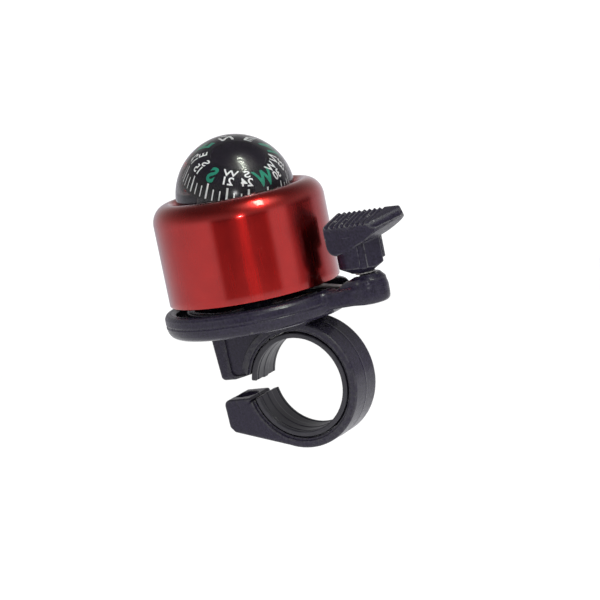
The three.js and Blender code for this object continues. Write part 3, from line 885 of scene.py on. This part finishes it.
def small_parts():
    """Pieces that hold the compass, the lever and the striker together."""
    pin = [(0, 40.66), (1.3, 40.66), (1.3, 41.1), (0.6, 41.6), (0.6, 44.2), (0.15, 45.7), (0, 45.7)]
    turned("pivot_pin", pin, GONG_X, 0, STEEL, "base", nodes=["card_pin"], slot="steel", segments=40)
    nut = rounded([(1.75, 3.4, 0.2), (2.6, 3.4, 0.2), (2.6, 9.4, 0.2), (1.75, 9.4, 0.2)])
    turned("threaded_insert", nut, CLAMP_SCREW_X, 0, BRASS, "base", nodes=["clamp_insert"], slot="brass")
    low, high = shaft_low[2], shaft_high[2]
    shaft = rounded([(0, low), (1.5, low, 0.25), (1.5, high, 0.25), (0, high)], closed=False)
    turned("pivot_shaft", shaft, PIVOT_X, 0, STEEL, "lever", nodes=["lever_shaft"], slot="steel", segments=64)
    ring = rounded([(1.6, 23.62, 0.05), (2.35, 23.62, 0.18), (2.35, 24.08, 0.18), (1.6, 24.08, 0.05)])
    turned("neck_washer", ring, PIVOT_X, 0, STEEL, "lever", nodes=["lever_washer"], slot="steel", segments=80)
    hub = rounded([(1.6, 19.1, 0.08), (2.9, 19.1, 0.12), (2.9, 19.6, 0.12), (1.6, 19.6, 0.08)])
    turned("arm_hub", hub, PIVOT_X, 0, STEEL, "lever", nodes=["striker_hub"], slot="steel", segments=80)
    wire = coil(PIVOT_X, COIL["r"], COIL["wire"], COIL["low"], COIL["rise"], COIL["turns"])
    piece("torsion_spring", *wire, SPRING, "base", nodes=["return_spring"], slot="spring_steel")


# ---- thumb lever ----


def pad_planes():
    """Outward planes of the pad's faceted body: (normal, distance)."""
    front, back = -5.6, 4.0
    corners = [
        (14.2, front, 34.8), (14.5, front, 36.1), (14.3, front, 30.8), (15.1, front, 29.4),
        (16.4, front, 28.85), (24.6, front, 31.6), (27.45, front, 33.34), (27.7, front, 34.1),
        (27.2, front, 34.7), (26, front, 35.6), (30.7, -1.6, 34.85),
        (13.7, back, 37.4), (14.4, back, 37.75), (13.9, back, 30.6), (15.8, back, 29.4),
        (24, back, 31.1), (27.6, back, 32.6), (29.7, back, 33.8), (30.9, back, 35),
        (29.9, back, 37.8), (32.4, 0.6, 35.65), (32.2, 0.9, 36), (30.9, 2.6, 37.4),
    ]
    work = bmesh.new()
    for corner in corners:
        work.verts.new(corner)
    bmesh.ops.convex_hull(work, input=work.verts)
    middle = sum((v.co for v in work.verts), Vector()) / len(work.verts)
    planes = []
    for face in work.faces:
        normal = face.normal.copy()
        if normal.dot(face.verts[0].co - middle) < 0:
            normal.negate()
        planes.append((np.array(normal), float(normal.dot(face.verts[0].co))))
    work.free()
    return planes


def neck_outline():
    x, y, r = NECK["x"], NECK["y"], NECK["r"]
    groove = {-65: 0.12, -63.5: 0.4, -61: 0.55, -51: 0.55, -49: 0.4, -47: 0.2}
    points = [arc(x, y, r - depth, angle, angle, 0)[0] for angle, depth in groove.items()]
    return [*arc(x, y, r, 18, 296, 48), *points]


def lever():
    """Ribbed thumb pad on a round neck, one moulding, with a fin behind the neck."""
    planes = pad_planes()
    neck = Outline(neck_outline(), step=0.06)
    foot, full_r = NECK["low"], NECK["r"] + 0.01
    funnel = Outline([(0, foot), (2.7, foot), (2.9, 24.3), (full_r, 25.6), (full_r, 33), (0, 33)])
    top = math.atan2(37.75 - 36.1, 9.6)  # how far the pad's top leans towards the viewer

    def field(x, y, z):
        soft = 0.1
        total = 0
        for normal, distance in planes:
            above = normal[0] * x + normal[1] * y + normal[2] * z - distance
            total = total + np.exp(np.minimum(above / soft, 60))
        pad = soft * np.log(np.maximum(total, 1e-30)) + 0.02
        along = (x - RIB["first"]) / RIB["pitch"]
        nearest = np.clip(np.round(along), 0, RIB["count"] - 1)
        groove = np.abs(along - nearest) * RIB["pitch"]
        height = (z - 36.9) * math.cos(top) - (y + 0.8) * math.sin(top)
        height = height + 0.13 * np.maximum(-3.6 - y, 0) ** 2
        pad = cut(pad, 1.35 * groove**2 - RIB["depth"] - height, 0.06)
        offset = [p - q for p, q in zip((x, y, z), HOLLOW["at"])]
        run = sum(p * q for p, q in zip(offset, HOLLOW["along"]))
        hollow = np.sqrt(np.maximum(sum(p * p for p in offset) - run * run, 0)) - HOLLOW["r"]
        pad = cut(pad, hollow, 0.15)
        notch = np.sqrt(sum((p - q) ** 2 for p, q in zip((x, y, z), NOTCH["at"]))) - NOTCH["r"]
        pad = cut(pad, notch, 0.15)
        stem = common(neck(x, y), funnel(away(x, y, NECK["x"], NECK["y"]), z), 0.2)
        fin = np.maximum(slab(PIVOT_X + 1, PIVOT_X + 3.8, x), slab(2.9, 4, y))
        fin = plate(fin, slab(26.3, 32.4, z), 0.15)
        shape = join(pad, join(stem, fin, 0.3), 0.35)
        return cut(shape, np.maximum(away(x, y, PIVOT_X) - 1.6, z - 29.2), 0.1)

    sculpted("thumb_lever", field, lever_low, lever_high, 0.16, THUMBED, "lever",
             nodes=["lever"], slot="black_plastic")


# ---- striker ----


def striker():
    """The spring arm with its eye, the brass head and the rivet through both."""
    turn = math.radians(ARM_ANGLE)
    across = (math.cos(turn), math.sin(turn))

    def arm(x, y, z):
        u = (x - PIVOT_X) * across[0] + y * across[1]
        v = y * across[0] - (x - PIVOT_X) * across[1]
        r = np.hypot(u, v)
        half = np.interp(u, [2.4, 7, ARM_LENGTH], [1.6, 1.1, 1.1])
        strip = np.maximum(np.abs(v) - half, slab(0, ARM_LENGTH, u))
        flat = join(join(r - 2.9, strip, 0.8), np.hypot(u - ARM_LENGTH, v) - 1.9, 0.8)
        flat = np.maximum(flat, 1.8 - r)
        flat = np.maximum(flat, 1.1 - np.hypot(u - ARM_LENGTH, v))
        return plate(flat, slab(arm_low[2], arm_high[2], z), 0.1)

    sculpted("spring_arm", arm, arm_low, arm_high, 0.12, ARM_STEEL, "striker",
             nodes=["striker_arm"], slot="spring_steel")
    x, y = PIVOT_X + ARM_LENGTH * across[0], ARM_LENGTH * across[1]
    low, high = head_low[2], head_high[2]
    head = rounded([(1.1, low, 0.1), (2.2, low, 0.3), (2.2, high, 0.5), (1.1, high, 0.1)])
    turned("hammer_head", head, x, y, BRASS, "striker", nodes=["striker_head"], slot="brass", segments=64)
    low, high = (corner[2] for corner in span("striker_rivet"))
    neck = low + 0.4
    rivet = rounded([
        (0, low), (1.6, low, 0.2), (1.6, neck, 0.1), (0.9, neck, 0.05), (0.9, high, 0.2), (0, high),
    ], closed=False)
    turned("head_rivet", rivet, x, y, STEEL, "striker", nodes=["striker_rivet"], slot="steel", segments=48)


# ---- the CAD nodes that stay ----


def repaint(materials):
    for node, material in materials.items():
        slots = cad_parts[node].data.materials
        slots.clear()
        slots.append(material)


# ---- floor, lights and surroundings ----

FLOOR_Z = -125


def add_floor():
    vertices, faces = lathe([(0, FLOOR_Z), (900, FLOOR_Z), (900, FLOOR_Z - 5), (0, FLOOR_Z - 5)], 96)
    mesh = bpy.data.meshes.new("floor")
    mesh.from_pydata((vertices * MM).tolist(), [], faces)
    floor = bpy.data.objects.new("floor", mesh)
    bpy.context.collection.objects.link(floor)
    look = Look("floor_white", (0.95, 0.95, 0.95), 0.7)
    tone = look.mix(look.noise(3, 2), (0.94, 0.94, 0.94, 1), (0.97, 0.97, 0.97, 1))
    # Glossy rays see the floor greyer than it is: a painted darker reflection of the floor.
    mirrored = look.add("ShaderNodeLightPath").outputs["Is Glossy Ray"]
    look.set(look.shader, "Base Color", look.mix(mirrored, tone, (0.76, 0.76, 0.78, 1)))
    mesh.materials.append(look.material)


def add_lamp(name, azimuth, elevation, distance, width, height, power,
             color=(1, 1, 1), lean=0, glints=True, washes=True):
    """A soft lamp aimed at the bell, its azimuth counted from the camera's.

    It shows in gloss if it glints, and in even light if it washes.
    """
    towards = direction(AZIMUTH + math.radians(azimuth), math.radians(elevation))
    data = bpy.data.lights.new(name, "AREA")
    data.shape = "RECTANGLE"
    data.size, data.size_y = width, height
    data.energy = power
    data.color = color
    lamp = bpy.data.objects.new(name, data)
    lamp.location = TARGET * MM + towards * distance
    turn = Quaternion((0, 0, 1), math.radians(lean))
    lamp.rotation_euler = (towards.to_track_quat("Z", "Y") @ turn).to_euler()
    lamp.visible_glossy = glints
    lamp.visible_diffuse = washes
    bpy.context.collection.objects.link(lamp)


# brightness of the surroundings by angle from the camera's azimuth, in degrees, towards +X
BANDS = {
    -180: 0.45, -120: 0.6, -60: 0.84, -44: 0.85, -35: 0.1, -20: 0.09, -6: 0.13, 8: 0.13, 20: 0.09, 33: 0.08,
    42: 0.87, 58: 0.87, 70: 0.2, 86: 0.08, 106: 0.1, 120: 0.5, 150: 0.62,
}

# brightness of the upper surroundings, and how far it covers the bands, by the sine of the elevation
UPPER = {0.04: (0.5, 0.0), 0.32: (0.4, 1.0), 0.5: (0.28, 1.0), 0.76: (0.12, 1.0)}

# the soft glow around the strip lamp, in degrees from the camera's azimuth and degrees up
GLOW = {"azimuth": 42, "elevation": 54, "narrow": 22, "color": (2.2, 2.2, 2.0, 1)}
PLAIN_WHITE = (1.13, 1.13, 1.13, 1)


def add_surroundings():
    """A plain white world that gloss sees as a tent with darker sides and a glow."""
    world = bpy.data.worlds.new("tent")
    bpy.context.scene.world = world
    world.use_nodes = True
    tree = world.node_tree
    nodes, link = tree.nodes, tree.links.new
    way = nodes.new("ShaderNodeTexCoord").outputs["Generated"]
    turn = nodes.new("ShaderNodeMapping")
    turn.inputs["Rotation"].default_value = (0, 0, math.pi / 2 - AZIMUTH)
    link(way, turn.inputs["Vector"])
    around = nodes.new("ShaderNodeTexGradient")
    around.gradient_type = "RADIAL"
    link(turn.outputs[0], around.inputs[0])
    bands = nodes.new("ShaderNodeValToRGB")
    bands.color_ramp.interpolation = "EASE"
    stops = bands.color_ramp.elements
    for number, (angle, level) in enumerate(BANDS.items()):
        stop = stops[number] if number < 2 else stops.new(1.0)
        stop.position = angle / 360 + 0.5
        stop.color = (level, level * (0.94 + 0.06 * level), level * (1.12 - 0.12 * level), 1)
    link(around.outputs["Fac"], bands.inputs[0])
    split = nodes.new("ShaderNodeSeparateXYZ")
    link(way, split.inputs[0])
    rise = nodes.new("ShaderNodeValToRGB")
    stops = rise.color_ramp.elements
    for number, (height, (level, cover)) in enumerate(UPPER.items()):
        stop = stops[number] if number < 2 else stops.new(1.0)
        stop.position = height / 2 + 0.5
        stop.color = (level, level, level, cover)
    lift = nodes.new("ShaderNodeMath")
    lift.operation = "MULTIPLY_ADD"
    lift.inputs[1].default_value = 0.5
    lift.inputs[2].default_value = 0.5
    link(split.outputs["Z"], lift.inputs[0])
    link(lift.outputs[0], rise.inputs[0])
    both = nodes.new("ShaderNodeMix")
    both.data_type = "RGBA"
    link(bands.outputs[0], both.inputs[6])
    link(rise.outputs["Color"], both.inputs[7])
    link(rise.outputs["Alpha"], both.inputs[0])
    facing = nodes.new("ShaderNodeVectorMath")
    facing.operation = "DOT_PRODUCT"
    towards = direction(AZIMUTH + math.radians(GLOW["azimuth"]), math.radians(GLOW["elevation"]))
    facing.inputs[1].default_value = towards
    link(way, facing.inputs[0])
    halo = nodes.new("ShaderNodeMath")
    halo.operation = "POWER"
    halo.use_clamp = True
    halo.inputs[1].default_value = GLOW["narrow"]
    link(facing.outputs["Value"], halo.inputs[0])
    glow = nodes.new("ShaderNodeMix")
    glow.data_type = "RGBA"
    glow.blend_type = "ADD"
    glow.inputs[7].default_value = GLOW["color"]
    link(halo.outputs[0], glow.inputs[0])
    link(both.outputs[2], glow.inputs[6])
    path = nodes.new("ShaderNodeLightPath")
    plain = nodes.new("ShaderNodeMath")
    plain.operation = "MAXIMUM"
    link(path.outputs["Is Camera Ray"], plain.inputs[0])
    link(path.outputs["Is Diffuse Ray"], plain.inputs[1])
    seen = nodes.new("ShaderNodeMix")
    seen.data_type = "RGBA"
    seen.inputs[7].default_value = PLAIN_WHITE
    link(plain.outputs[0], seen.inputs[0])
    link(glow.outputs[2], seen.inputs[6])
    link(seen.outputs[2], nodes["Background"].inputs[0])


clamp()
liner()
base_plate()
gong()
gong_fixings()
compass_body()
compass_card()
small_parts()
lever()
striker()
repaint({
    "fill_plug": NYLON,
    "card_jewel": JEWEL,
    "card_magnet": MAGNET,
    "shaft_clip": SPRING,
})
add_camera()
add_floor()
add_lamp("strip", 40, 58.3, 0.55, 0.075, 0.29, 1.4, (0.93, 1, 0.86), lean=-17, washes=False)
add_lamp("key", 25, 50, 0.6, 0.6, 0.6, 2.2, glints=False)
add_lamp("flash", 0, 10.3, 0.56, 0.028, 0.028, 0.25)
add_surroundings()
bpy.context.scene.view_settings.view_transform = "Standard"
